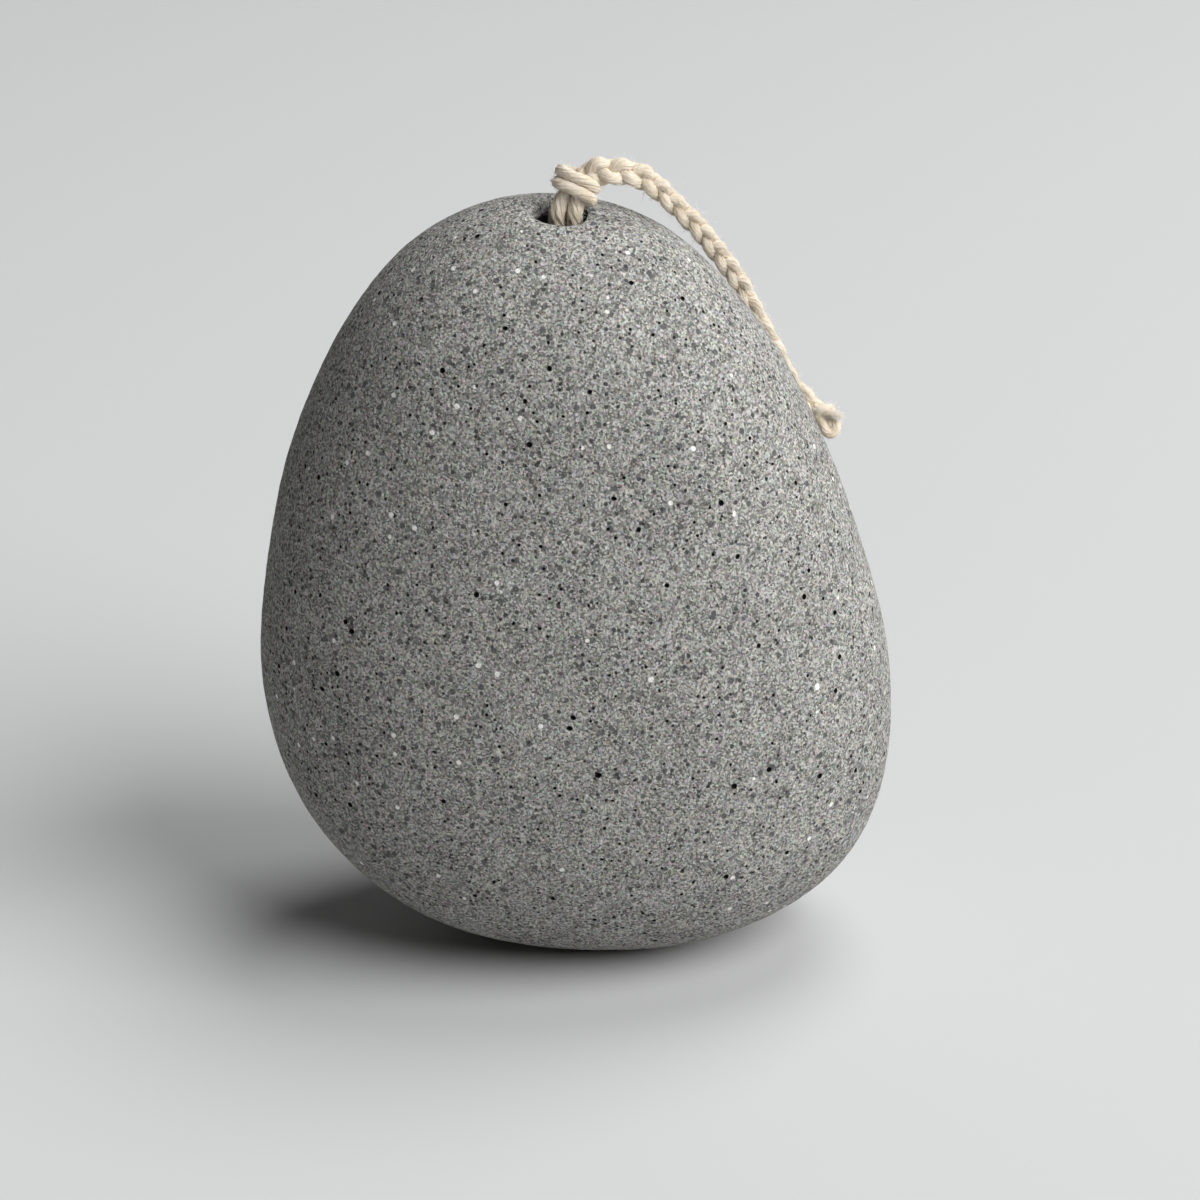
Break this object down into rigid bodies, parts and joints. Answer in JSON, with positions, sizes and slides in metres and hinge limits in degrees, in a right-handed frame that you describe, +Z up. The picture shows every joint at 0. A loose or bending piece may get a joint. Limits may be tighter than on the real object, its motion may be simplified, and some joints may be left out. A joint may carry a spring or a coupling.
{
  "type": "pumice stone",
  "caption": "Egg-shaped pumice foot stone that stands on its broad end, with a drilled hole in its crown, a wrapped knot and a short braided cotton cord.",
  "frame": {"origin": "on the surface the stone stands on, under the middle of the stone's box", "axes": "+X to the stone's right, along its width; +Y to its back, through its thickness; +Z up, along its height"},
  "size_m": [0.0818, 0.0536, 0.1054],
  "materials": {
    "pumice": "matt, fine-grained and full of small round pores",
    "cotton_cord": "soft undyed cotton yarn, loosely twisted"
  },
  "bodies": {
    "root": {"stone": "pumice", "cord_leg_left": "cotton_cord", "cord_leg_right": "cotton_cord", "wrap_knot": "cotton_cord", "braid": "cotton_cord", "end_knot": "cotton_cord"}
  },
  "joints": []
}
